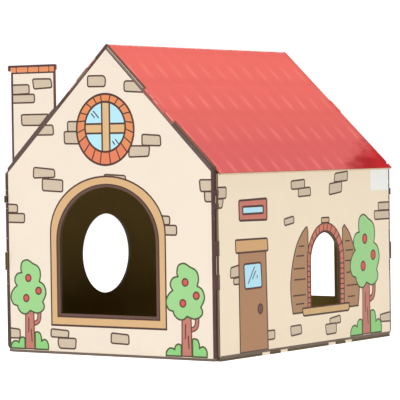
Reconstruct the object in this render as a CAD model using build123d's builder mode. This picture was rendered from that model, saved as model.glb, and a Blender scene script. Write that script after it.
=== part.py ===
"""Cardboard cat house: six sheets of corrugated board, cut flat, that plug together without glue.

Millimetres. The origin is the middle of the footprint on the ground. X runs across the front,
Y from the front to the back and Z up. Every outer edge is joined in the same way: one sheet has
a recess with a tongue standing in its middle, the other has two teeth that fill the recess on
both sides of the tongue, and the tongue's tip stands a little proud of the outer face. The front
and the back sheet are cut to one shape but for the chimney, and each is turned to face outwards.
"""

import os
from math import atan2, cos, degrees, sin

from build123d import *

# The closed house
width = 400.0
depth = 508.0
eave_height = 283.0
ridge_height = 475.0
board = 4.0

# How the sheets fit
fit_gap = 0.4
edge_gap = 1.0
tongue_proud = 3.5
roof_tongue_proud = 1.2
floor_tongue_proud = 2.0
tongue_radius = 1.2
tooth_root = 3.0

# Joints: length of the recess and of the tongue that stands in it
joint_reach = 72.0
joint_tongue = 28.0
small_joint_reach = 29.0
small_joint_tongue = 11.0

# Places of the joints' middles on the edges
corner_joint_height = 142.0
small_joint_below_wall_top = 38.5
base_joint_from_front = 152.0
base_joint_from_back = 163.0
roof_joint_from_ridge = 136.0
chimney_side_joint_from_ridge = 65.0

# Openings; an arched top is half an ellipse that rises by so much above the straight sides
entrance_half = 91.0
entrance_left_of_middle = 3.4
entrance_sill = 63.0
entrance_top = 257.7
entrance_rise = 83.0
window_half = 42.9
window_from_front = 302.5
window_sill = 64.0
window_top = 179.3
window_rise = 45.0
hole_radius = 65.5
hole_from_front = 258.0
hole_height = 142.6

# Chimney, standing up from the front sheet's left slope
chimney_inset = 14.7
chimney_width = 85.3
chimney_top = 447.5
cap_height = 9.0
cap_overhang_left = 6.0
cap_overhang_right = 2.0
cap_radius = 2.0

# Other edges
corner_radius = 5.0
wall_corner_radius = 8.0
eave_overhang = 5.0
fold_radius = 2.0

half_width = width / 2
half_depth = depth / 2
roof_fall = (ridge_height - eave_height) / half_width
pitch = atan2(ridge_height - eave_height, half_width)
wall_top = eave_height - board / cos(pitch)
sheet_half = half_width - board - edge_gap
roof_half = half_depth - board - edge_gap
floor_half = half_depth - board - fit_gap
chimney_middle = -half_width + chimney_inset + chimney_width / 2
cap_middle = chimney_middle + (cap_overhang_right - cap_overhang_left) / 2
cap_width = chimney_width + cap_overhang_left + cap_overhang_right

# Each joint is (place of its middle, recess, tongue), or (side, distance from the ridge) on a slope
corner_joints = [
    (corner_joint_height, joint_reach, joint_tongue),
    (wall_top - small_joint_below_wall_top, small_joint_reach, small_joint_tongue),
]
base_joints = [
    (-half_depth + base_joint_from_front, joint_reach, joint_tongue),
    (half_depth - base_joint_from_back, joint_reach, joint_tongue),
]
front_roof_joints = [(1, roof_joint_from_ridge), (-1, chimney_side_joint_from_ridge)]
back_roof_joints = [(1, roof_joint_from_ridge), (-1, roof_joint_from_ridge)]


def slope_point(side, along, above):
    """Point (x, z) so far down one slope from the ridge and so far out of its outer face."""
    across = along * cos(pitch) + above * sin(pitch)
    return (side * across, ridge_height - along * sin(pitch) + above * cos(pitch))


def slope_strip(side, near, far, low, high):
    """Corners of a strip that lies along one slope."""
    return [
        slope_point(side, near, low),
        slope_point(side, far, low),
        slope_point(side, far, high),
        slope_point(side, near, high),
    ]


def teeth_spans(middle, reach, tongue):
    """Start and end of the two teeth that fill a recess beside its tongue."""
    return [
        (middle - reach / 2 + fit_gap, middle - tongue / 2 - fit_gap),
        (middle + tongue / 2 + fit_gap, middle + reach / 2 - fit_gap),
    ]


def cut_arch(middle, half, sill, top, rise):
    """Takes an opening with an arched top out of the sketch that is being drawn."""
    spring = top - rise
    with Locations((middle, sill)):
        Rectangle(2 * half, spring - sill, align=(Align.CENTER, Align.MIN), mode=Mode.SUBTRACT)
    with Locations((middle, spring)):
        Ellipse(half, rise, mode=Mode.SUBTRACT)


def draw_gable(sketch, roof_joints, entrance_middle):
    """Draws the front or back sheet: body, corner teeth, roof recesses with tongues, entrance."""
    shoulder = ridge_height - sheet_half * roof_fall
    Polygon(
        (-sheet_half, 0),
        (sheet_half, 0),
        (sheet_half, shoulder),
        (0, ridge_height),
        (-sheet_half, shoulder),
        align=None,
    )
    fillet(sketch.vertices().group_by(Axis.Y)[0], corner_radius)
    for joint in corner_joints:
        for low, high in teeth_spans(*joint):
            with Locations((0, (low + high) / 2)):
                Rectangle(width, high - low)
    for side, along in roof_joints:
        recess = slope_strip(side, along - joint_reach / 2, along + joint_reach / 2, -board, board)
        Polygon(*recess, align=None, mode=Mode.SUBTRACT)
        tongue_height = tooth_root + board + roof_tongue_proud
        tongue_middle = slope_point(side, along, roof_tongue_proud - tongue_height / 2)
        with Locations(tongue_middle):
            RectangleRounded(
                joint_tongue, tongue_height, tongue_radius, rotation=-side * degrees(pitch)
            )
    cut_arch(entrance_middle, entrance_half, entrance_sill, entrance_top, entrance_rise)


def draw_wall():
    """Draws a side wall from the middle of its length: body, corner recesses, tongues, foot teeth."""
    for end in (-1, 1):
        for middle, reach, tongue in corner_joints:
            with Locations((end * half_depth, middle)):
                Rectangle(2 * board, reach, mode=Mode.SUBTRACT)
            tongue_length = tooth_root + board + tongue_proud
            with Locations((end * (half_depth + tongue_proud - tongue_length / 2), middle)):
                RectangleRounded(tongue_length, tongue, tongue_radius)
    for joint in base_joints:
        for near, far in teeth_spans(*joint):
            with Locations(((near + far) / 2, 0)):
                Rectangle(far - near, board + tooth_root, align=(Align.CENTER, Align.MIN))


with BuildPart() as front_panel:
    with BuildSketch(Plane.XZ.offset(half_depth - board)) as front_outline:
        draw_gable(front_outline, front_roof_joints, -entrance_left_of_middle)
        with Locations((chimney_middle, wall_top)):
            Rectangle(chimney_width, chimney_top - wall_top, align=(Align.CENTER, Align.MIN))
        with Locations((cap_middle, chimney_top - cap_height / 2)):
            RectangleRounded(cap_width, cap_height, cap_radius)
    extrude(amount=board)

with BuildPart() as back_panel:
    with BuildSketch(Plane.XZ.offset(-half_depth)) as back_outline:
        draw_gable(back_outline, back_roof_joints, entrance_left_of_middle)
    extrude(amount=board)

with BuildPart() as right_wall:
    with BuildSketch(Plane.YZ.offset(half_width - board)) as right_outline:
        with Locations((0, board)):
            Rectangle(depth, wall_top - board, align=(Align.CENTER, Align.MIN))
        fillet(right_outline.vertices().group_by(Axis.Y)[0], wall_corner_radius)
        draw_wall()
        window_middle = window_from_front - half_depth
        cut_arch(window_middle, window_half, window_sill, window_top, window_rise)
    extrude(amount=board)

with BuildPart() as left_wall:
    with BuildSketch(Plane.YZ.offset(-half_width)) as left_outline:
        with Locations((0, board)):
            Rectangle(depth, wall_top - board, align=(Align.CENTER, Align.MIN))
        fillet(left_outline.vertices().group_by(Axis.Y)[0], wall_corner_radius)
        draw_wall()
        with Locations((hole_from_front - half_depth, hole_height)):
            Circle(hole_radius, mode=Mode.SUBTRACT)
    extrude(amount=board)

with BuildPart() as roof:
    eave_along = (half_width + eave_overhang) / cos(pitch)
    with BuildSketch(Plane.XZ) as roof_section:
        Polygon(
            slope_point(1, eave_along, 0),
            (0, ridge_height),
            slope_point(-1, eave_along, 0),
            slope_point(-1, eave_along, -board),
            (0, ridge_height - board / cos(pitch)),
            slope_point(1, eave_along, -board),
            align=None,
        )
        fillet(roof_section.vertices().sort_by(Axis.Y)[-1], fold_radius)
    extrude(amount=roof_half, both=True)
    for end, joints in ((1, front_roof_joints), (-1, back_roof_joints)):
        with BuildSketch(Plane.XZ.offset(end * (roof_half + half_depth) / 2)):
            for side, along in joints:
                for near, far in teeth_spans(along, joint_reach, joint_tongue):
                    Polygon(*slope_strip(side, near, far, -board, 0), align=None)
        extrude(amount=(half_depth - roof_half) / 2, both=True)
    # Outside the back sheet's ends the low corners run on to the walls' ends
    beside_sheet = (half_width - board + board * sin(pitch)) / cos(pitch)
    with BuildSketch(Plane.XZ.offset(-half_depth)):
        for side in (-1, 1):
            Polygon(*slope_strip(side, beside_sheet, eave_along, -board, 0), align=None)
    extrude(amount=half_depth - roof_half)

with BuildPart() as floor:
    with BuildSketch() as floor_outline:
        Rectangle(width, 2 * floor_half)
        for side in (-1, 1):
            for middle, reach, tongue in base_joints:
                with Locations((side * half_width, middle)):
                    Rectangle(2 * (board + fit_gap), reach, mode=Mode.SUBTRACT)
                tongue_length = tooth_root + board + floor_tongue_proud
                tongue_middle = half_width + floor_tongue_proud - tongue_length / 2
                with Locations((side * tongue_middle, middle)):
                    RectangleRounded(tongue_length, tongue, tongue_radius)
    extrude(amount=board)

front_panel.part.label = "front_panel"
back_panel.part.label = "back_panel"
right_wall.part.label = "right_wall"
left_wall.part.label = "left_wall"
roof.part.label = "roof"
floor.part.label = "floor"

os.makedirs("parts", exist_ok=True)
export_step(front_panel.part, "parts/front_panel.step")
export_step(back_panel.part, "parts/back_panel.step")
export_step(right_wall.part, "parts/right_wall.step")
export_step(left_wall.part, "parts/left_wall.step")
export_step(roof.part, "parts/roof.step")
export_step(floor.part, "parts/floor.step")
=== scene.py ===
# Cardboard cat house: six printed sheets of corrugated board that plug together without glue.
# The prints are drawn in millimetres, x or y across and z up; finished meshes are in metres.

import random
from math import acos, asin, atan, cos, pi, sin

import bmesh
import bpy
from mathutils import Matrix, Vector
from mathutils.geometry import delaunay_2d_cdt


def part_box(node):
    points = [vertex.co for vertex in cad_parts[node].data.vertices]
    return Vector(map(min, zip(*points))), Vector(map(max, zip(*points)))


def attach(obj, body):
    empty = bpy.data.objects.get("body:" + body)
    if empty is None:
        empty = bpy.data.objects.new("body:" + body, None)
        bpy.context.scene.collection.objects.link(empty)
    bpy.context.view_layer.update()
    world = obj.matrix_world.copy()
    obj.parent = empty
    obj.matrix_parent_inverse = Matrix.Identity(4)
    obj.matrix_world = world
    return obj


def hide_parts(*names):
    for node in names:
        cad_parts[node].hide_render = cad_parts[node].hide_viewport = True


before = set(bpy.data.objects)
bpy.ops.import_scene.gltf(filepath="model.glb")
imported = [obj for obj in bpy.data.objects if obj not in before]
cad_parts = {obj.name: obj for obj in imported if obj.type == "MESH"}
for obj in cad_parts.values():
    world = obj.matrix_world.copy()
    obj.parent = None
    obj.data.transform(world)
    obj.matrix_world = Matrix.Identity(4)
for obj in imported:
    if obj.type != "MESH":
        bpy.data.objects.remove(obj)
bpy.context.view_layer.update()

# One millimetre in metres
MM = 0.001

# The closed house and its board
HALF_WIDTH = 200.0
HALF_DEPTH = 254.0
RIDGE_HEIGHT = 475.0
EAVE_HEIGHT = 283.0
PITCH = atan((RIDGE_HEIGHT - EAVE_HEIGHT) / HALF_WIDTH)
BOARD = 4.0
FLUTE_PITCH = 7.5

# Middles and springs of the openings
ENTRANCE_OFF_MIDDLE = 3.4
ENTRANCE_SPRING = 174.7
WINDOW_MIDDLE = 48.5
WINDOW_SPRING = 134.3
HOLE_MIDDLE = (4, 142.6)

# Joints: middles along a wall's foot, distances down a slope, and half lengths from a middle
FOOT_JOINTS = (-102, 91)
ROOF_JOINT = 136
CHIMNEY_JOINT = 65
RECESS_HALF = 36.5
TONGUE_HALF = 14
TOOTH_END = 37

# Places past a sheet's edges, where the print on it stops being drawn
GABLE_OUT = 205
WALL_OUT = 262
FOOT_OUT = -5
TOP_OUT = 290
CHIMNEY_OUT = 450
SLOPE_OUT = 5
SLOPE_END = 292

# Widths of printed lines
GLINT = 2.0
BARK = 2.2
SLAT = 2.3
THIN_LINE = 2.4
BRICK_LINE = 2.5
LEAF_LINE = 2.6
DOOR_LINE = 2.8
HEAVY_LINE = 3.2


# Materials

class Wire:
    """One output of a node; a sum or product of wires adds its Math nodes."""

    def __init__(self, graph, socket):
        self.graph = graph
        self.socket = socket

    def maths(self, operation, *values):
        return self.graph.add("ShaderNodeMath", {"operation": operation}, dict(enumerate(values)))

    def __add__(self, other):
        return self.maths("ADD", self, other)

    def __sub__(self, other):
        return self.maths("SUBTRACT", self, other)

    def __rsub__(self, other):
        return self.maths("SUBTRACT", other, self)

    def __mul__(self, other):
        return self.maths("MULTIPLY", self, other)

    def __abs__(self):
        return self.maths("ABSOLUTE", self)

    __radd__ = __add__

    def larger(self, other):
        return self.maths("MAXIMUM", self, other)

    def wave(self):
        return self.maths("SINE", self)

    def part(self):
        return self.maths("FRACT", self)

    def fade(self, low, high):
        """0 where this is at low, 1 where it is at high, with a soft change between them."""
        return self.graph.add(
            "ShaderNodeMapRange", {"interpolation_type": "SMOOTHSTEP"}, {0: self, 1: low, 2: high}
        )


class Graph:
    """The nodes of a material or a world."""

    def __init__(self, owner):
        owner.use_nodes = True
        self.nodes = owner.node_tree.nodes
        self.links = owner.node_tree.links
        self.nodes.clear()

    def add(self, kind, settings=None, inputs=None, output=0):
        """Adds a node, makes its settings, fills its sockets and gives one output as a wire."""
        node = self.nodes.new(kind)
        for name, value in (settings or {}).items():
            setattr(node, name, value)
        for socket, value in (inputs or {}).items():
            if isinstance(value, Wire):
                self.links.new(value.socket, node.inputs[socket])
            else:
                node.inputs[socket].default_value = value
        return Wire(self, node.outputs[output]) if node.outputs else None


class Finish(Graph):
    """A material that is built node by node."""

    def __init__(self, name):
        self.material = bpy.data.materials.new(name)
        super().__init__(self.material)
        self.place = self.add("ShaderNodeTexCoord", output="Object")
        self.x, self.y, self.z = [
            self.add("ShaderNodeSeparateXYZ", {}, {0: self.place}, axis) for axis in range(3)
        ]

    def flutes(self):
        """Wave of the fluted paper inside the board, from -1 to 1."""
        return ((self.x + self.y) * (2 * pi / (FLUTE_PITCH * MM))).wave()

    def noise(self, size, detail=2.0, stretch=(1, 1, 1)):
        """Cloudy pattern from 0 to 1 whose patches are about so many millimetres wide."""
        place = self.add("ShaderNodeMapping", {}, {"Vector": self.place, "Scale": stretch})
        settings = {"Vector": place, "Scale": 1 / (size * MM), "Detail": detail}
        return self.add("ShaderNodeTexNoise", {}, settings)

    def blend(self, share, first, second):
        settings = {"data_type": "RGBA"}
        return self.add("ShaderNodeMix", settings, {0: share, 6: first, 7: second}, 2)

    def shaded(self, colour, tone):
        """A colour made lighter or darker by a tone round 1."""
        settings = {"operation": "SCALE"}
        colour = colour if isinstance(colour, Wire) else colour[:3]
        return self.add("ShaderNodeVectorMath", settings, {0: colour, "Scale": tone})

    def surface(self, colour, roughness, relief, **constants):
        """Ends the material; relief is in millimetres, and constants go onto the shader itself."""
        bump = self.add("ShaderNodeBump", {}, {"Height": relief, "Distance": MM, "Strength": 1.0})
        inputs = {"Base Color": colour, "Roughness": roughness, "Normal": bump}
        inputs.update({name.replace("_", " "): value for name, value in constants.items()})
        shader = self.add("ShaderNodeBsdfPrincipled", {}, inputs)
        self.add("ShaderNodeOutputMaterial", {}, {"Surface": shader})
        return self.material


def paint(red, green, blue):
    """Linear colour of a printed shade given in steps of 255."""
    shares = [value / 255 for value in (red, green, blue)]
    linear = [s / 12.92 if s <= 0.04045 else ((s + 0.055) / 1.055) ** 2.4 for s in shares]
    return (*linear, 1.0)


PAPER_WHITE = paint(250, 246, 238)
KRAFT = paint(150, 124, 58)
KRAFT_DARK = paint(86, 62, 38)
# Near black brown of painted shade deep inside cut edges
CUT_SHADE = paint(52, 32, 24)
# Dark brown: painted shade at the walls' ends in the joints; it also darkens the low left corner of
# the roof's teeth
DEEP_BROWN = paint(74, 58, 46)
ROOF_STAIN = paint(222, 98, 90)
# Red of the back sheet's tongue tips, painted lighter to make up for the shade the ridge casts on
# them
TONGUE_RED_PAINTED_LIGHT = paint(250, 128, 118)


def printed_paper(name, colour, wear=0.0):
    """One ink on the board's printed face, with mottling, paper grain and the flutes under it."""
    finish = Finish(name)
    mottle = finish.noise(45, 3.0)
    grain = finish.noise(0.9, 3.0)
    flutes = finish.flutes()
    tone = 0.965 + mottle * 0.05 + grain * 0.03 + flutes * 0.004
    inked = finish.shaded(colour, tone)
    if wear:
        rubbed = finish.noise(3.5, 4.0).fade(0.66, 0.74) * wear
        inked = finish.blend(rubbed, inked, PAPER_WHITE)
    roughness = 0.42 + mottle * 0.14 + grain * 0.06
    relief = grain * 0.02 + flutes * 0.02
    return finish.surface(inked, roughness, relief, Specular_IOR_Level=0.42)


def gable_depth(finish):
    """Distance in millimetres below a gable's outer face."""
    return HALF_DEPTH - abs(finish.y) * (1 / MM)


def wall_depth(finish):
    """Distance in millimetres below a side wall's outer face."""
    return HALF_WIDTH - abs(finish.x) * (1 / MM)


def roof_depth(finish):
    """Distance in millimetres below the roof's outer face."""
    out = abs(finish.x) * sin(PITCH) + finish.z * cos(PITCH)
    return RIDGE_HEIGHT * cos(PITCH) - out * (1 / MM)


def floor_depth(finish):
    """Height in millimetres above the floor sheet's underside."""
    return finish.z * (1 / MM)


def kraft_liner(name):
    """The bare brown face of the board, washboarded by the flutes and flecked with fibres.

    It has painted shade at the walls' ends, where they sit in the joints, and it is red at the tips
    of the back sheet's tongues, painted lighter there to make up for the ridge's shade.
    """
    finish = Finish(name)
    mottle = finish.noise(30, 4.0)
    fibres = finish.noise(1.2, 4.0, (0.35, 0.35, 2.4))
    flecks = finish.noise(2.2, 2.0).fade(0.68, 0.74)
    flutes = finish.flutes()
    tone = 0.84 + mottle * 0.16 + fibres * 0.16 + flutes * 0.03
    brown = finish.blend(flecks * 0.5, finish.shaded(KRAFT, tone), KRAFT_DARK)
    # Painted shade where the walls' ends sit in the joints, at full strength above 0.22 m
    ends = 1 - gable_depth(finish).fade(2.8, 3.4)
    brown = finish.blend(ends * (0.5 + finish.z.fade(0.2, 0.22) * 0.5), brown, DEEP_BROWN)
    # Red tongue tips, painted lighter to make up for the ridge's shade
    back_tongues = (1 - roof_depth(finish).fade(0.6, 0.9)) * finish.y.fade(0.24, 0.246)
    brown = finish.blend(back_tongues, brown, TONGUE_RED_PAINTED_LIGHT)
    return finish.surface(brown, 0.86 + fibres * 0.08, fibres * 0.05 + flutes * 0.06)


def cut_board(name, paper, hollow_shade, measure, axes, inner_shade=0.0, stain=None):
    """A cut edge: two liners with the wavy paper between them, painted shade in the hollows and,
    where asked, deeper inside, and stained outside.

    The measure gives the depth of a place below one face of the sheet, and the wavy paper
    runs along the axes, one or both of x and y.
    """
    finish = Finish(name)
    depth = measure(finish)
    along = finish.x + finish.y if axes == "xy" else getattr(finish, axes)
    middle = BOARD / 2
    swing = 1.45
    wave = (along * (2 * pi / (FLUTE_PITCH * MM))).wave() * swing
    medium = 1 - abs(depth - middle - wave).fade(0.25, 0.5)
    liners = abs(depth - middle).fade(swing, swing + 0.2)
    solid = medium.larger(liners)
    fibres = finish.noise(0.8, 4.0)
    # Painted shade in the hollows between the liners and the wavy paper
    colour = finish.blend(solid, hollow_shade, finish.shaded(paper, 0.8 + fibres * 0.35))
    # Painted shade deep inside the cut edge, as strong as asked
    if inner_shade:
        colour = finish.blend(depth.fade(1.2, 2.2) * inner_shade, colour, CUT_SHADE)
    if stain:
        colour = finish.blend(1 - depth.fade(0.7, 1.3), colour, stain)
    return finish.surface(colour, 0.9 + fibres * 0.05, solid * 0.3)


def stained_teeth(name):
    """Ends of the roof's teeth: red ink above, bare board below, and nicks in the ink."""
    finish = Finish(name)
    depth = roof_depth(finish)
    patches = finish.noise(9, 3.0)
    left = 1 - finish.x.fade(-0.01, 0.01)
    dark = (depth + patches * 1.6 + left * 1.4).fade(3.4, 4.3)
    nicks = (1 - abs(depth - 1.0).fade(0.3, 0.8)) * patches.fade(0.4, 0.5)
    low_corner = (1 - finish.z.fade(0.286, 0.294)) * left
    red = finish.blend(left * 0.6, ROOF_STAIN, paint(150, 88, 80))
    red = finish.blend(low_corner, red, DEEP_BROWN)
    colour = finish.blend(dark, red, paint(92, 62, 50))
    colour = finish.blend(nicks * 0.65, colour, paint(214, 190, 170))
    return finish.surface(colour, 0.7 + patches * 0.1, patches * 0.1)


def roof_print(name):
    """Red roof ink with rows of soft feather strokes, washed pale coral by a painted reflection of
    the soft lights, palest near the ridge; the deep red ink shows at the low back corners, where
    the painted reflection gives way.
    """
    finish = Finish(name)
    row_height, stroke_width = 71.0, 40.0
    x = abs(finish.x) * (1 / MM)
    y = finish.y * (1 / MM)
    down = x * (1 / cos(PITCH))
    within = (down * (1 / row_height) - 0.317).part()
    stroke = ((y + 228) * (1 / stroke_width) + (within - 0.5) * 0.12).part()
    across = stroke.fade(0.26, 0.5) * (1 - stroke.fade(0.52, 0.76))
    ends = within.fade(0.18, 0.45) * (1 - within.fade(0.58, 0.8))
    feather = across * (ends * 0.85 + 0.15)
    mottle = finish.noise(40, 3.0)
    streaks = finish.noise(9, 3.0, (0.6, 1.6, 0.6))
    tiles = within.fade(0.62, 0.86) * (1 - within.fade(0.86, 1.0))
    strength = finish.noise(60, 2.0).fade(0.3, 0.7)
    # Painted reflection: a pale coral wash over the red ink, palest near the ridge and weaker down
    # the slope
    low = down.fade(60, 285) * 0.6
    sheened_red = finish.blend(low, paint(248, 112, 102), paint(218, 96, 102))
    sheened_stroke_red = finish.blend(low, paint(255, 133, 120), paint(244, 124, 122))
    red = finish.blend(feather * (0.45 + strength * 0.45), sheened_red, sheened_stroke_red)
    red = finish.blend(tiles * 0.09, red, paint(214, 84, 84))
    brush = finish.noise(26, 3.0, (1.4, 0.5, 1.4))
    # Deep red ink where the painted reflection gives way, towards the low back corners
    reach = (HALF_DEPTH - y) * (1 / 135.0) + (287 - down) * (1 / 66.0)
    corner = 1 - (reach + (brush - 0.5) * 1.1).fade(0.6, 1.35)
    deep = finish.blend(brush.fade(0.4, 0.6), paint(184, 22, 30), paint(208, 24, 32))
    red = finish.blend(corner, red, deep)
    red = finish.shaded(red, 0.94 + mottle * 0.07 + streaks * 0.05)
    ridge_wear = (1 - x.fade(0.6, 3.5)) * finish.noise(6, 4.0).fade(0.4, 0.7)
    red = finish.blend(ridge_wear * 0.55, red, PAPER_WHITE)
    grain = finish.noise(1.1, 3.0)
    flutes = (y * (2 * pi / FLUTE_PITCH)).wave()
    roughness = 0.42 + mottle * 0.12
    return finish.surface(red, roughness, grain * 0.015 + flutes * 0.015, Specular_IOR_Level=0.3)


# Printed inks, and how much paper shows through where some of them are rubbed
INKS = {
    "cream": paint(242, 228, 209),
    "side_cream": paint(246, 229, 202),
    "stone": paint(210, 192, 168),
    "brick_line": paint(82, 52, 38),
    "outline": paint(76, 44, 38),
    "border": paint(82, 48, 50),
    "band": paint(98, 76, 72),
    "slope_line": paint(92, 70, 64),
    "band_light": paint(136, 118, 108),
    "band_red": paint(136, 94, 84),
    # Painted shade of the gaps at the joints, and of a wall's cut edge seen in one
    "edge_dark": paint(86, 58, 44),
    "rubbed": paint(206, 186, 170),
    "kraft_rub": paint(158, 144, 120),
    "tooth_shade": paint(116, 86, 74),
    "roof_ink": ROOF_STAIN,
    "foot_band": paint(112, 94, 80),
    "orange": paint(230, 141, 86),
    "orange_low": paint(230, 127, 88),
    "cap": paint(232, 145, 96),
    "salmon": paint(208, 118, 94),
    "tan": paint(220, 178, 127),
    "bar": paint(224, 184, 132),
    "sill": paint(211, 174, 120),
    "keystone": paint(212, 178, 134),
    "glass": paint(184, 233, 249),
    "crown": paint(158, 213, 141),
    "bush": paint(142, 209, 127),
    "leaf_line": paint(74, 82, 42),
    "apple": paint(224, 78, 82),
    "trunk": paint(196, 122, 108),
    "bark_line": paint(98, 52, 42),
    "door": paint(177, 130, 93),
    "knob": paint(112, 78, 60),
    "shutter": paint(175, 134, 95),
    "lintel": paint(214, 168, 116),
    "coral": paint(204, 120, 102),
    "lip": paint(100, 70, 58),
    "label": paint(245, 246, 242),
}
WORN_INKS = {"border": 0.12, "band": 0.3, "band_light": 0.5, "edge_dark": 0.15, "outline": 0.1}
materials = {
    ink: printed_paper("ink_" + ink, colour, WORN_INKS.get(ink, 0.0))
    for ink, colour in INKS.items()
}
materials["kraft"] = kraft_liner("kraft_liner")
for slot, name, paper, hollow_shade, measure, axes in (
    ("gable_cut", "gable_cut_edge", (130, 108, 84), (80, 60, 44), gable_depth, "x"),
    ("slope_cut", "slope_cut_edge", (156, 112, 88), (112, 78, 62), gable_depth, "x"),
    ("window_cut", "window_cut_edge", (146, 120, 80), (100, 80, 50), wall_depth, "y"),
    # The left wall's cut edges take darker colours: painted shade
    ("left_cut", "left_wall_cut_edge", (104, 86, 78), (70, 54, 46), wall_depth, "y"),
    ("floor_cut", "floor_cut_edge", (134, 122, 96), (86, 72, 50), floor_depth, "xy"),
):
    materials[slot] = cut_board(name, paint(*paper), paint(*hollow_shade), measure, axes)
# The right wall's ends: strong painted shade deep inside the cut edge
materials["wall_cut"] = cut_board(
    "wall_cut_edge", paint(176, 162, 124), paint(122, 104, 74), wall_depth, "y", inner_shade=0.92
)
materials["roof_cut"] = cut_board(
    "roof_cut_edge",
    paint(232, 212, 184),
    paint(196, 172, 144),
    roof_depth,
    "y",
    stain=paint(150, 78, 66),
)
materials["roof_red"] = roof_print("roof_red")
materials["tooth_ends"] = stained_teeth("tooth_ends")


# Drawing

def turned_area(points):
    """Area inside a closed outline, negative if it runs clockwise."""
    pairs = zip(points, points[1:] + points[:1])
    return sum(a[0] * b[1] - b[0] * a[1] for a, b in pairs) / 2


def grown(points, distance):
    """The outline moved outwards by a distance, or inwards by a negative one."""
    points = [Vector(point) for point in points]
    if turned_area(points) < 0:
        points.reverse()
    moved = []
    for index, point in enumerate(points):
        before = (point - points[index - 1]).normalized()
        after = (points[(index + 1) % len(points)] - point).normalized()
        normals = Vector((before.y, -before.x)), Vector((after.y, -after.x))
        middle = normals[0] + normals[1]
        moved.append(point + middle * (distance / max(middle.length_squared / 2, 0.5)))
    return moved


def rounded(corners, radius):
    """A closed outline with its corners rounded off."""
    steps = 4
    corners = [Vector(corner) for corner in corners]
    points = []
    for index, corner in enumerate(corners):
        ends = []
        for other in (corners[index - 1], corners[(index + 1) % len(corners)]):
            side = other - corner
            ends.append(corner + side.normalized() * min(radius, side.length * 0.45))
        for step in range(steps + 1):
            share = step / steps
            middle = 2 * share * (1 - share)
            points.append(ends[0] * (1 - share) ** 2 + corner * middle + ends[1] * share**2)
    return points


def curved(points, steps=6):
    """A smooth open line through these points."""
    points = [Vector(point) for point in points]
    ends = [points[0] * 2 - points[1], *points, points[-1] * 2 - points[-2]]
    line = []
    for a, b, c, d in zip(ends, ends[1:], ends[2:], ends[3:]):
        for step in range(steps):
            t = step / steps
            line.append(
                (b * 2 + (c - a) * t + (a * 2 - b * 5 + c * 4 - d) * t**2
                 + (b * 3 - a - c * 3 + d) * t**3) / 2
            )
    return line + [points[-1]]


def oval(x, z, wide, tall, start=0.0, end=2 * pi, steps=32):
    """Points along an oval with these half widths, from one angle to another."""
    closed = end - start > 2 * pi - 0.001
    count = steps if closed else steps + 1
    angles = [start + (end - start) * step / steps for step in range(count)]
    return [(x + wide * cos(angle), z + tall * sin(angle)) for angle in angles]


def box(left, low, right, high):
    return [(left, low), (right, low), (right, high), (left, high)]


def arch(x, half, low, spring, rise):
    """Outline of an arched shape: straight sides up to the spring, then half an oval."""
    return [(x - half, low), (x + half, low), *oval(x, spring, half, rise, 0, pi)]


def band(points, thickness):
    """Outline of a line of that thickness with round ends."""
    points = [Vector(point) for point in points]
    left, right = [], []
    for index, point in enumerate(points):
        along = points[min(index + 1, len(points) - 1)] - points[max(index - 1, 0)]
        side = Vector((-along.y, along.x)).normalized() * (thickness / 2)
        left.append(point + side)
        right.append(point - side)
    caps = []
    for end, side in ((points[-1], left[-1]), (points[0], right[0])):
        ray = side - end
        caps.append([end + Matrix.Rotation(-pi * k / 6, 2) @ ray for k in range(1, 6)])
    return left + caps[0] + right[::-1] + caps[1]


class Drawing:
    """The print of one sheet. Each shape is an ink and an outline, over the shapes before it."""

    def __init__(self, seed):
        self.shapes = []
        self.hand = random.Random(seed)

    def fill(self, ink, points):
        self.shapes.append((ink, points))

    def outlined(self, ink, points, thickness, edge="outline"):
        """An ink inside a line that runs along the outline's middle."""
        self.fill(edge, grown(points, thickness / 2))
        self.fill(ink, grown(points, -thickness / 2))

    def line(self, points, thickness, ink="outline"):
        self.fill(ink, band(points, thickness))

    def bricks(self, outlines):
        for corners in outlines:
            self.outlined("stone", rounded(corners, 3.5), BRICK_LINE, "brick_line")

    def stones(self, places):
        """Bricks drawn by hand: boxes with uneven corners."""
        for left, low, right, high in places:
            self.bricks([[
                (x + self.hand.uniform(-1.1, 1.1), z + self.hand.uniform(-0.9, 0.9))
                for x, z in box(left, low, right, high)
            ]])

    def ring_stones(self, ink, near, far, start, end, count, joint):
        """Uneven wedge stones between two ovals, each given as middle and half widths."""
        turns = [start + (end - start) * index / count for index in range(count + 1)]
        turns[1:-1] = [turn + self.hand.uniform(-0.03, 0.03) for turn in turns[1:-1]]
        gap = joint / 2 / max(far[2:])
        for first, last in zip(turns, turns[1:]):
            inner = oval(*near, first + gap * 1.2, last - gap * 1.2, 4)
            outer = oval(*far, first + gap, last - gap, 4)
            self.fill(ink, outer + inner[::-1])

    def cloud(self, ink, lobes, place, foot=()):
        """A leafy shape: each lobe is a smooth line, and the lines meet in sharp notches."""
        outline = []
        for lobe in lobes:
            outline += curved(place(lobe), 4)[:-1]
        outline += place([lobes[-1][-1], *foot] if foot else [])
        self.outlined(ink, outline, LEAF_LINE, "leaf_line")

    def tree(self, x, z, wide, tall):
        """An apple tree between two bushes; x is the trunk's middle and z the ground.

        Wide and tall stretch it.
        """

        def place(points):
            return [(x + px * wide, z + pz * tall) for px, pz in points]

        branch = curved(place([(19, 60), (18.6, 49), (15.5, 42.5), (7, 39)]))
        self.fill("bark_line", band(branch, 8.2 * wide))
        self.fill("trunk", band(branch, 4.2 * wide))
        trunk = place([(-9.2, -0.4), (9, -0.4), (8, 62), (-8.2, 62)])
        self.outlined("trunk", trunk, 2.1, "bark_line")
        for bark in ([(-2, 47), (-2.6, 26)], [(2.6, 30), (3.8, 11.4)]):
            self.line(place(bark), BARK, "bark_line")
        for lobes, foot in BUSHES:
            self.cloud("bush", lobes, place, foot)
        self.cloud("crown", CROWN, place)
        for middle in place([(-1.8, 110.6), (18, 91), (-6.4, 79)]):
            apple = oval(*middle, 5.2 * wide, 5.4 * tall)
            self.outlined("apple", apple, THIN_LINE, "bark_line")


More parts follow.
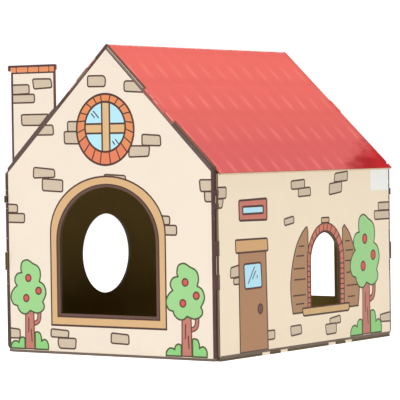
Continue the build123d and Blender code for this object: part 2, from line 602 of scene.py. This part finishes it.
# Leafy outlines of the printed apple tree, from the trunk's middle on the ground
CROWN = [
    [(20, 105.4), (28, 101), (32, 93), (32, 85), (26, 73.4)],
    [(26, 73.4), (28.6, 69), (28, 63), (22, 58), (13, 56), (1, 59.6)],
    [(1, 59.6), (-6, 54.4), (-15, 55), (-22, 61), (-24, 66.6)],
    [(-24, 66.6), (-32, 69), (-36.6, 77), (-36, 85), (-31, 93), (-24.6, 98)],
    [(-24.6, 98), (-28.4, 104), (-28, 111), (-23, 117), (-14.6, 119)],
    [(-14.6, 119), (-16.4, 124), (-15, 133), (-11, 137.4), (-4, 139), (1, 137.4), (8, 133.4),
     (16, 130), (21, 124), (22.2, 115), (20, 105.4)],
]
BUSHES = [
    ([[(-38, -0.6), (-37.4, 5), (-33, 10), (-27, 11), (-22.4, 9)],
      [(-22.4, 9), (-21, 14), (-16, 17.4), (-10.3, 16)]], [(-10.3, -0.6)]),
    ([[(10, 25.2), (13, 26.4), (19, 25), (22, 19), (22.6, 12.6)],
      [(22.6, 12.6), (28, 15), (33, 13), (36, 7), (35.8, -0.6)]], [(10, -0.6)]),
]


def on_slope(side, places):
    """Points given as distance down a slope from the ridge and height above its line."""
    return [
        (
            side * (along * cos(PITCH) + above * sin(PITCH)),
            RIDGE_HEIGHT - along * sin(PITCH) + above * cos(PITCH),
        )
        for along, above in places
    ]


def slope_strip(side, near, far, low, high):
    return on_slope(side, [(near, low), (far, low), (far, high), (near, high)])


def entrance_frame(drawing, middle):
    """Tan frame printed round the arched entrance, with a darker lip at the cut."""
    frame_spring = 187
    for ink, half, low, spring, rise in (
        ("outline", 109.8, 43.1, frame_spring, 88.3),
        ("tan", 107.2, 46.2, frame_spring, 85.7),
        ("outline", 97.5, 56.9, ENTRANCE_SPRING, 88.2),
        ("lip", 95.2, 59.4, ENTRANCE_SPRING, 86.3),
    ):
        drawing.fill(ink, arch(middle, half, low, spring, rise))


def bar_in_circle(x, z, radius, low, high, upright):
    """A bar cut off by a circle; low and high are its edges' distances from the middle."""
    if upright:
        near, far = acos(high / radius), acos(low / radius)
        turns = ((near, far), (-far, -near))
    else:
        near, far = asin(low / radius), asin(high / radius)
        turns = ((near, far), (pi - far, pi - near))
    return [point for turn in turns for point in oval(x, z, radius, radius, *turn, steps=4)]


def round_window(drawing, x, z):
    """A round window with a ring of bricks, taller below, and a cross of glazing bars."""
    glass_z = z + 4
    pane, ring_inside, ring_outside, edge = 36.4, 39.6, 52.4, 3.3
    line, joint = 2.9, 2.2
    low_start, low_end = 3.5, 2 * pi - 0.7
    drawing.fill("outline", oval(x, z, ring_outside + edge, ring_outside + edge, steps=64))
    near = (x, glass_z, ring_inside, ring_inside)
    far = (x, z, ring_outside, ring_outside)
    for ink, start, end, count in (
        ("orange", low_end - 2 * pi, low_start, 14), ("orange_low", low_start, low_end, 6),
    ):
        drawing.ring_stones(ink, near, far, start, end, count, joint)
    drawing.fill("outline", oval(*near, steps=64))
    drawing.fill("glass", oval(x, glass_z, pane, pane, steps=64))
    for low, high, upright in ((-8.3, 3.2, False), (-4.3, 7.3, True)):
        for ink, wider in (("outline", line), ("bar", 0)):
            bar = bar_in_circle(x, glass_z, pane, low - wider, high + wider, upright)
            drawing.fill(ink, bar)
    for start, end in (
        ((-21.5, 24), (-12, 14)), ((-25.5, 20.3), (-19.8, 14.5)),
        ((19.5, -19.5), (25.3, -26)), ((14, -22.3), (17.8, -26.8)),
    ):
        glint = [(x + start[0], glass_z + start[1]), (x + end[0], glass_z + end[1])]
        drawing.line(glint, GLINT)


def front_slopes(drawing):
    """The printed bands along the front sheet's two slopes, rubbed and stained at the joints, with
    painted shade along the gaps where the roof meets them.
    """
    right, left, out = 1, -1, SLOPE_OUT
    near, far = ROOF_JOINT - RECESS_HALF, ROOF_JOINT + RECESS_HALF
    end = SLOPE_END
    drawing.fill("band", on_slope(right, [
        (-4, out), (end, out), (end, -9.4), (200, -8.8), (150, -8), (100, -7.3), (0, -6.4),
    ]))
    for ink, start, stop, low, high in (
        ("band_light", 4, 98, -5.2, -3.9),
        ("rubbed", 4, 97, -2.7, -1.5),
        # Painted shade of the gap between the roof's end and the sheet
        ("edge_dark", -2, 98, -1.3, out),
        ("band_red", near, far, -7.6, -4.3),
        ("roof_ink", near, far, -4.3, out),
        ("rubbed", 124, 133, -2, -1.1),
        # Painted shade of the dark gap lower down the right slope
        ("edge_dark", 173, end, -3.4, out),
        ("band_red", 173, 262, -0.9, out),
    ):
        drawing.fill(ink, slope_strip(right, start, stop, low, high))
    chimney, low = 132, -5.7
    above = [(-4, out), (chimney, out), (chimney, low), (0, -5.6)]
    beside = [(chimney, 1.6), (150, 2.4), (end, 2.4), (end, low), (chimney, low)]
    # Painted shade of the gap above the left slope, from the ridge to the chimney
    drawing.fill("edge_dark", on_slope(left, above))
    drawing.fill("slope_line", on_slope(left, beside))
    near, far = CHIMNEY_JOINT - TONGUE_HALF, CHIMNEY_JOINT + TONGUE_HALF
    drawing.fill("tooth_shade", slope_strip(left, near, far, -4.6, out))
    drawing.fill("kraft_rub", slope_strip(left, near + 0.5, far - 0.5, -0.6, out))


def draw_front():
    drawing = Drawing(3)
    drawing.bricks([
        [(-142.5, 425.5), (-107, 425), (-104.5, 411.5), (-140.5, 410)],
        [(-192, 417), (-150, 417), (-149.5, 403), (-192, 402)],
        [(-192, 402), (-139.5, 402), (-139.5, 389), (-192, 389)],
        [(-166, 370.5), (-112, 370.5), (-129, 353.5), (-165, 354)],
        [(-122, 353.5), (-104, 353.5), (-103, 338.5), (-138, 338.5)],
        [(-143, 288.5), (-102.5, 285), (-101.5, 273), (-144, 272)],
        [(-126.5, 271), (-86.5, 268.5), (-87, 250.5), (-126.5, 252.5)],
        [(-GABLE_OUT, 231.5), (-176.5, 230.5), (-176.5, 218), (-GABLE_OUT, 218.5)],
        [(-GABLE_OUT, 217), (-162.5, 216.5), (-163, 202.5), (-GABLE_OUT, 203)],
        [(-7, 277), (33, 275), (34, 262), (-7, 262)],
        [(90, 215), (114, 214), (113.5, 201.5), (90, 201.5)],
        [(92, 200.5), (126, 200.5), (126, 186), (92, 186.5)],
        [(168.5, 268.5), (GABLE_OUT, 268.5), (GABLE_OUT, 252), (170, 251)],
        [(177, 251), (GABLE_OUT, 251), (GABLE_OUT, 236.5), (178, 236)],
        [(-35.5, 427.5), (-5, 427), (-1.5, 421.5), (-3, 410.5), (-36, 411)],
        [(33, 415.5), (36, 418), (60, 417), (78, 399.5), (33, 402.5)],
        [(-75.5, 358.5), (-50, 358), (-50, 342.5), (-75.5, 343)],
        [(-82.5, 343), (-50, 343), (-50, 324), (-82, 324.5)],
        [(65, 337), (98.5, 335), (99.5, 319.5), (65, 320.5)],
        [(41, 320), (79, 319.5), (77, 304), (40, 303)],
        [(-113.5, 38.5), (-79, 36.5), (-80, 25.5), (-114, 26)],
        [(-99.5, 25), (-65, 25), (-66.5, 9), (-97.5, 9), (-100.5, 17)],
        [(-GABLE_OUT, 38), (-175, 35.5), (-175, 22), (-GABLE_OUT, 21.5)],
        [(2.5, 36), (35, 34), (35.5, 19.5), (1.5, 20.5)],
    ])
    for left, low, right in ((-186, 296, -181.4), (-102, 375, -99), (-192, 434, -97)):
        drawing.fill("border", box(left, low, right, CHIMNEY_OUT))
    joints = [-187, -174.7, -151.8, -130.2, -110.2, -99.6]
    cap_low, cap_high = 436.4, 444.2
    for left, right in zip(joints, joints[1:]):
        drawing.fill("cap", rounded(box(left + 0.8, cap_low, right - 0.8, cap_high), 1.4))
    front_slopes(drawing)
    gable_sides(drawing)
    # Painted shade of the left wall's cut edge beside the front sheet's lower left edge
    wall_edge_shade = [(-GABLE_OUT, 4), (-192.8, 4), (-194.3, 125), (-GABLE_OUT, 125)]
    drawing.fill("edge_dark", wall_edge_shade)
    entrance_frame(drawing, -ENTRANCE_OFF_MIDDLE)
    round_window(drawing, -4, 345.3)
    drawing.tree(-155.3, 6.4, 1.0, 0.993)
    drawing.tree(142, 6.2, 1.0, 0.993)
    return drawing


def draw_back():
    drawing = Drawing(5)
    drawing.stones([
        (-24, 402, 14, 419), (-8, 384, 30, 401), (-70, 350, -32, 367), (44, 330, 84, 348),
        (60, 312, 98, 329), (-120, 296, -82, 314), (-104, 278, -66, 295), (110, 262, 150, 280),
        (-174, 236, -136, 254), (148, 214, 186, 231), (160, 196, GABLE_OUT, 213),
        (-GABLE_OUT, 150, -160, 167), (-GABLE_OUT, 133, -174, 149), (134, 118, 172, 136),
        (-160, 66, -122, 84), (150, 44, 188, 62), (-92, 14, -54, 32), (40, 12, 78, 30),
        (20, 283, 58, 300),
    ])
    for side in (-1, 1):
        line = [(-4, SLOPE_OUT), (SLOPE_END, SLOPE_OUT), (SLOPE_END, -6.5), (0, -6)]
        drawing.fill("border", on_slope(side, line))
    gable_sides(drawing)
    entrance_frame(drawing, ENTRANCE_OFF_MIDDLE)
    return drawing


def gable_sides(drawing):
    """The bands down a gable's sides, carried by its corner teeth, and along its foot."""
    for ink, left, right, top in (
        ("border", -GABLE_OUT, -194.3, 289),
        ("border", 189, GABLE_OUT, 288),
        ("outline", 194.8, GABLE_OUT, 288),
    ):
        drawing.fill(ink, box(left, FOOT_OUT, right, top))
    drawing.fill("foot_band", box(-GABLE_OUT, FOOT_OUT, GABLE_OUT, 4))


def wall_border(drawing, joints):
    """Dark ends and a brown foot line, which stops at the foot teeth."""
    drawing.fill("outline", box(-WALL_OUT, 3, -251.6, TOP_OUT))
    drawing.fill("outline", box(250.6, 3, WALL_OUT, TOP_OUT))
    drawing.fill("foot_band", box(-WALL_OUT, FOOT_OUT, WALL_OUT, 8))
    for middle in joints:
        for side in (-1, 1):
            near, far = sorted((middle + side * TONGUE_HALF, middle + side * TOOTH_END))
            drawing.fill("side_cream", box(near, FOOT_OUT, far, 4.3))


def shutter(drawing, outer, inner, slats):
    """A curved shutter; each slat is a level line at a height, from one place to another."""
    drawing.outlined("shutter", curved(outer) + inner, LEAF_LINE)
    for height, start, end in slats:
        drawing.line([(start, height), (end, height)], SLAT)


def brick_arch(drawing):
    """The ring of small bricks round the arched side window."""
    left, right, foot, spring = -6.1, 106.5, 60, 136
    inside, rise, edge = 46.2, 57, 2.3
    middle = (left + right) / 2
    half = (right - left) / 2
    drawing.fill("outline", arch(middle, half, foot, spring, rise + edge))
    near = (WINDOW_MIDDLE, WINDOW_SPRING, inside, 48.4)
    far = (middle, spring, half - edge, rise)
    drawing.ring_stones("salmon", near, far, 0, pi, 13, 2.0)
    course, gap = 8.2, 1.9
    low = foot + 3.6
    while low + course - gap < WINDOW_SPRING + 3:
        for start, end in (
            (left + edge, WINDOW_MIDDLE - inside), (WINDOW_MIDDLE + inside, right - edge),
        ):
            drawing.fill("salmon", box(start, low, end, low + course - gap))
        low += course


def cottage_door(drawing):
    """A printed door with a lintel, a small pane and a knob."""
    drawing.outlined("door", [(-198, 8), (-121, 8), (-124.5, 158), (-199, 158)], DOOR_LINE)
    lintel = [(-206.5, 158), (-118, 158), (-120, 177), (-207.5, 177.5)]
    drawing.outlined("lintel", rounded(lintel, 3), DOOR_LINE)
    pane = [(-185.5, 140.5), (-138.5, 141), (-136, 103.5), (-183, 103)]
    drawing.outlined("glass", rounded(pane, 5), 3)
    for glint in (
        [(-156.5, 135), (-174, 111)],
        [(-153.5, 128.5), (-162, 117.5)],
        [(-149, 121.5), (-149.5, 118.5)],
    ):
        drawing.line(glint, GLINT)
    drawing.outlined("knob", oval(-141.6, 71, 6.5, 7.2), THIN_LINE)


def draw_right():
    drawing = Drawing(7)
    drawing.bricks([
        [(-WALL_OUT, 257), (-230, 257), (-231, 240.5), (-WALL_OUT, 240.5)],
        [(-WALL_OUT, 240), (-238, 240), (-242, 226.5), (-WALL_OUT, 226.5)],
        [(-221, 137), (-190, 141), (-190, 123), (-222, 121.5)],
        [(-213.5, 121), (-190, 122), (-190, 111.5), (-213.5, 111.5)],
        [(-130, 36), (-101.5, 36), (-102, 22.5), (-130, 22.5)],
        [(-50, 262), (-10.5, 264), (-10.5, 249.5), (-50, 249.5)],
        [(-29, 250), (6, 251.5), (7, 238.5), (-30, 237.5)],
        [(81, 271.5), (120.5, 274.5), (119, 259.5), (78, 258)],
        [(63.5, 255.5), (102, 258.5), (100.5, 242), (62.5, 238)],
        [(-72, 204), (-44, 208), (-42.5, 197.5), (-70, 194)],
        [(216, 221.5), (WALL_OUT, 221.5), (WALL_OUT, 208.5), (217, 208.5)],
        [(203, 208), (WALL_OUT, 208), (WALL_OUT, 194), (204, 194)],
        [(-57, 38), (-26, 38.5), (-24, 25), (-55, 23)],
        [(59.5, 42), (91.5, 45.5), (93.5, 34), (60.5, 32.5)],
        [(46.5, 33.5), (79.5, 34), (79.5, 18), (49, 17.5)],
        [(218, 37.5), (WALL_OUT, 41), (WALL_OUT, 24.5), (221, 26)],
    ])
    cottage_door(drawing)
    window = [(-196, 206), (-120, 205), (-120, 237.5), (-197, 236)]
    drawing.outlined("coral", rounded(window, 3.5), HEAVY_LINE)
    drawing.outlined("glass", rounded(box(-186.5, 215.5, -130, 226.5), 2), HEAVY_LINE)
    shutter(
        drawing,
        [(-49, 57), (-53.8, 80), (-55, 95.5), (-54.3, 108), (-48.6, 134), (-37.5, 160),
         (-23, 178), (-9, 189)],
        [(-5, 189.5), (-3, 184), (-2, 150), (1, 65), (0, 57)],
        [(160.5, -28.5, -14.5), (145.5, -36.5, -15.5), (126, -44, -14), (109, -44, -11.5),
         (84.5, -47.5, -12), (71, -40, -17)],
    )
    shutter(
        drawing,
        [(108, 189), (122, 177), (136, 155), (146, 132), (151.5, 108), (153, 87), (148.5, 57)],
        [(104, 57), (103, 80), (101, 140), (102, 184)],
        [(163, 111.5, 124), (148, 111.5, 133.5), (131.5, 110, 127.5), (112.5, 113.5, 126.5),
         (91.5, 113.5, 147), (73.5, 117, 137.5)],
    )
    brick_arch(drawing)
    drawing.outlined("keystone", rounded(box(38, 194.5, 61.5, 202.5), 2.5), THIN_LINE)
    sill = [(-22, 63.5), (-18.5, 51.5), (119, 51.5), (121.5, 63.5)]
    drawing.outlined("sill", rounded(sill, 3), DOOR_LINE)
    drawing.tree(174.3, 10.3, 1.333, 1.39)
    drawing.fill("label", rounded(box(192.3, 241.8, 253, 276.6), 1.5))
    wall_border(drawing, FOOT_JOINTS)
    return drawing


def draw_left():
    drawing = Drawing(11)
    drawing.stones([
        (-WALL_OUT, 196, -222, 214), (-WALL_OUT, 178, -236, 195), (-180, 236, -142, 254),
        (-160, 218, -122, 235), (-40, 240, 0, 258), (90, 230, 130, 248), (110, 212, 150, 229),
        (200, 246, WALL_OUT, 263), (214, 150, WALL_OUT, 168), (140, 150, 178, 168),
        (-200, 120, -160, 138), (-130, 70, -92, 88), (100, 60, 138, 78), (120, 42, 160, 59),
        (-220, 40, -180, 58), (-60, 20, -22, 38), (40, 22, 78, 40), (200, 24, 240, 42),
    ])
    x, z = HOLE_MIDDLE
    for ink, radius in (("outline", 83.4), ("tan", 81.2), ("outline", 72.2), ("lip", 70.2)):
        drawing.fill(ink, oval(x, z, radius, radius, steps=64))
    wall_border(drawing, FOOT_JOINTS)
    return drawing


# Sheets

def chained(edges):
    """Closed outlines, largest first, from directed edges between points."""
    following = dict(edges)
    loops = []
    while following:
        start, point = following.popitem()
        loop = [start]
        while point != start:
            loop.append(point)
            point = following.pop(point)
        loops.append(loop)
    return sorted(loops, key=lambda loop: -abs(turned_area(loop)))


def open_edges(triangles):
    """Edges that only one triangle has, in that triangle's direction."""
    edges = {(t[i - 1], t[i]) for t in triangles for i in range(3)}
    return [(a, b) for a, b in edges if (b, a) not in edges]


def cut_outlines(node, across, through):
    """Outlines in millimetres of a CAD sheet's flat face: the outside, then its openings."""
    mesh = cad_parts[node].data
    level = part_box(node)[0][through]
    triangles = []
    for polygon in mesh.polygons:
        corners = [mesh.vertices[index].co for index in polygon.vertices]
        if all(abs(corner[through] - level) < 1e-6 for corner in corners):
            triangles.append([(round(c[across] / MM, 3), round(c.z / MM, 3)) for c in corners])
    return chained(open_edges(triangles))


def tiled(outlines, shapes=()):
    """Triangles that fill a sheet inside its outline, each with the number of the top shape."""
    points, faces = [], []
    for outline in [outlines[0], *[points for _, points in shapes], *outlines[1:]]:
        if turned_area(outline) < 0:
            outline = outline[::-1]
        faces.append(list(range(len(points), len(points) + len(outline))))
        points += [Vector(point) for point in outline]
    spots, _, triangles, _, _, covers = delaunay_2d_cdt(points, [], faces, 0, 0.0005, True)
    first_opening = 1 + len(shapes)
    kept = [
        (triangle, max(cover) - 1)
        for triangle, cover in zip(triangles, covers)
        if 0 in cover and max(cover) < first_opening
    ]
    return spots, kept


def slope_distance(x, z):
    """Distance down a slope from the ridge, and height above its line."""
    drop = RIDGE_HEIGHT - z
    return abs(x) * cos(PITCH) + drop * sin(PITCH), abs(x) * sin(PITCH) - drop * cos(PITCH)


def front_cut(x, z):
    """The front's cut edges are bare, but for the tongue that stands in the red roof."""
    along, above = slope_distance(x, z)
    if x > 0 and above > 0.2 and abs(along - ROOF_JOINT) < TONGUE_HALF + 2:
        return "roof_red"
    return "slope_cut" if above > -1 else "gable_cut"


def back_cut(x, z):
    """The back's upper edges carry the roof's red."""
    return "roof_red" if slope_distance(x, z)[1] > -1 else "gable_cut"


def right_cut(y, z):
    """The right wall's ends have painted shade deep inside their cut edges, and its other cut edges
    have none.
    """
    return "wall_cut" if abs(y) > HALF_DEPTH - 14 else "window_cut"


def sheet(name, node, through, outward, ground, cut, drawing):
    """One printed sheet as a closed mesh: inked face, bare kraft face and cut edges.

    Through is the axis across the board, and outward the way in which the print faces along it.
    """
    across = 1 - through
    low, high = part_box(node)
    outer, inner = (high, low) if outward > 0 else (low, high)
    facing = outward if through == 0 else -outward
    slots = [ground, "kraft"]
    mesh = bpy.data.meshes.new(name)
    shape = bmesh.new()

    def corner(spot, level):
        place = [0.0, 0.0, spot[1] * MM]
        place[across] = spot[0] * MM
        place[through] = level[through]
        return shape.verts.new(place)

    def add(corners, ink):
        if ink not in slots:
            slots.append(ink)
        if facing < 0:
            corners = corners[::-1]
        shape.faces.new(corners).material_index = slots.index(ink)

    spots, kept = tiled(cut_outlines(node, across, through), drawing.shapes)
    for triangle, top in kept:
        ink = drawing.shapes[top][0] if top >= 0 else ground
        add([corner(spots[index], outer) for index in triangle], ink)
    edges = open_edges([triangle for triangle, _ in kept])
    for a, b in edges:
        places = [(spots[a], outer), (spots[a], inner), (spots[b], inner), (spots[b], outer)]
        add([corner(spot, level) for spot, level in places], cut(*(spots[a] + spots[b]) / 2))
    backs, inside = tiled(chained([(tuple(spots[a]), tuple(spots[b])) for a, b in edges]))
    for triangle, _ in inside:
        add([corner(backs[index], inner) for index in triangle][::-1], "kraft")
    bmesh.ops.remove_doubles(shape, verts=shape.verts, dist=2e-6)
    return finished(name, mesh, shape, slots, [node])


def finished(name, mesh, shape, slots, nodes):
    """Puts a bmesh into the scene as a piece that stands for CAD nodes."""
    shape.to_mesh(mesh)
    shape.free()
    for slot in slots:
        mesh.materials.append(materials[slot])
    piece = bpy.data.objects.new(name, mesh)
    bpy.context.scene.collection.objects.link(piece)
    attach(piece, "root")
    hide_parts(*nodes)
    return piece


def board_copy(name, node, slots, pick):
    """A copy of a CAD sheet whose faces take the finish that pick gives for their normal."""
    mesh = bpy.data.meshes.new(name)
    shape = bmesh.new()
    shape.from_mesh(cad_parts[node].data)
    bmesh.ops.remove_doubles(shape, verts=shape.verts, dist=1e-6)
    for face in shape.faces:
        face.material_index = slots.index(pick(face.normal, face.calc_center_median()))
        face.smooth = False
    return finished(name, mesh, shape, slots, [node])


def roof_face(normal, centre):
    """The roof is red above and brown below, with its teeth's ends and its cut edges."""
    side = 1 if centre.x > 0 else -1
    out = normal.x * side * sin(PITCH) + normal.z * cos(PITCH)
    if abs(out) > 0.5:
        return "roof_red" if out > 0 else "kraft"
    return "tooth_ends" if abs(normal.y) > 0.5 else "roof_cut"


front = sheet("printed_front", "front_panel", 1, -1, "cream", front_cut, draw_front())
back = sheet("printed_back", "back_panel", 1, 1, "cream", back_cut, draw_back())
right = sheet("printed_right_wall", "right_wall", 0, 1, "side_cream", right_cut, draw_right())
left = sheet(
    "printed_left_wall", "left_wall", 0, -1, "side_cream", lambda y, z: "left_cut", draw_left()
)
roof = board_copy("folded_roof", "roof", ["roof_red", "kraft", "roof_cut", "tooth_ends"], roof_face)
floor = board_copy(
    "floor_sheet",
    "floor",
    ["kraft", "floor_cut"],
    lambda normal, centre: "kraft" if abs(normal.z) > 0.5 else "floor_cut",
)


# Stage

def plane(name, size, height, material):
    mesh = bpy.data.meshes.new(name)
    corners = [(x * size, y * size, height) for x, y in ((-1, -1), (1, -1), (1, 1), (-1, 1))]
    mesh.from_pydata(corners, [], [(0, 1, 2, 3)])
    mesh.materials.append(material)
    ground = bpy.data.objects.new(name, mesh)
    bpy.context.scene.collection.objects.link(ground)


def soft_light(name, place, aim, size, power):
    data = bpy.data.lights.new(name, "AREA")
    data.shape = "DISK"
    data.size = size
    data.energy = power
    lamp = bpy.data.objects.new(name, data)
    lamp.location = place
    lamp.rotation_mode = "QUATERNION"
    lamp.rotation_quaternion = (Vector(aim) - Vector(place)).to_track_quat("-Z", "Y")
    bpy.context.scene.collection.objects.link(lamp)


studio = Finish("studio_floor")
studio_tone = 0.5 + studio.noise(400, 2.0) * 0.02
studio_floor = studio.surface(
    studio.shaded((1.0, 1.0, 1.0), studio_tone), 0.9, studio.noise(3) * 0.01,
    Emission_Color=(1, 1, 1, 1), Emission_Strength=0.94,
)
plane("studio_floor", 30, -0.0002, studio_floor)
# Lamps: place and aim in metres, size in metres, power in watts
for name, place, aim, size, power in (
    ("key", (-5.5, -4.8, 2.4), (-0.05, 0.1, 0.12), 1.8, 10),
    ("front_fill", (-0.15, -6.0, 1.2), (0, -0.1, 0.2), 1.2, 70),
    ("right", (3.9, -1.1, 1.5), (0.1, 0, 0.2), 2.5, 24.5),
    ("overhead", (0.0, 0, 4.0), (0, 0, 0), 3.0, 113),
):
    soft_light(name, place, aim, size, power)

# The house is lit by a soft glow, and the camera sees a white backdrop
world = bpy.data.worlds.new("studio")
bpy.context.scene.world = world
room = Graph(world)
glow = room.add("ShaderNodeBackground", {}, {"Color": (1, 0.99, 0.96, 1), "Strength": 0.175})
backdrop = room.add("ShaderNodeBackground", {}, {"Color": (1, 1, 1, 1), "Strength": 1.05})
seen = room.add("ShaderNodeLightPath", output="Is Camera Ray")
either = room.add("ShaderNodeMixShader", {}, {0: seen, 1: glow, 2: backdrop})
room.add("ShaderNodeOutputWorld", {}, {"Surface": either})
bpy.context.scene.view_settings.view_transform = "Standard"

# Camera at the photograph's angle: turns in radians, place in metres, lens in millimetres
YAW, TILT, ROLL = 0.600641, 0.024456, -0.013853
CAMERA_PLACE = (2.12897, -3.11479, 0.3234)
LENS = 211.21
camera_data = bpy.data.cameras.new("camera")
camera_data.sensor_width = 36.0
camera_data.lens = LENS
camera_data.clip_end = 100
camera = bpy.data.objects.new("camera", camera_data)
ahead = Vector((-sin(YAW) * cos(TILT), cos(YAW) * cos(TILT), -sin(TILT)))
level = Vector((cos(YAW), sin(YAW), 0))
upright = level.cross(ahead)
sideways = level * cos(ROLL) + upright * sin(ROLL)
up = upright * cos(ROLL) - level * sin(ROLL)
turn = Matrix((sideways, up, -ahead)).transposed().to_4x4()
camera.matrix_world = Matrix.Translation(CAMERA_PLACE) @ turn
bpy.context.scene.collection.objects.link(camera)
bpy.context.scene.camera = camera
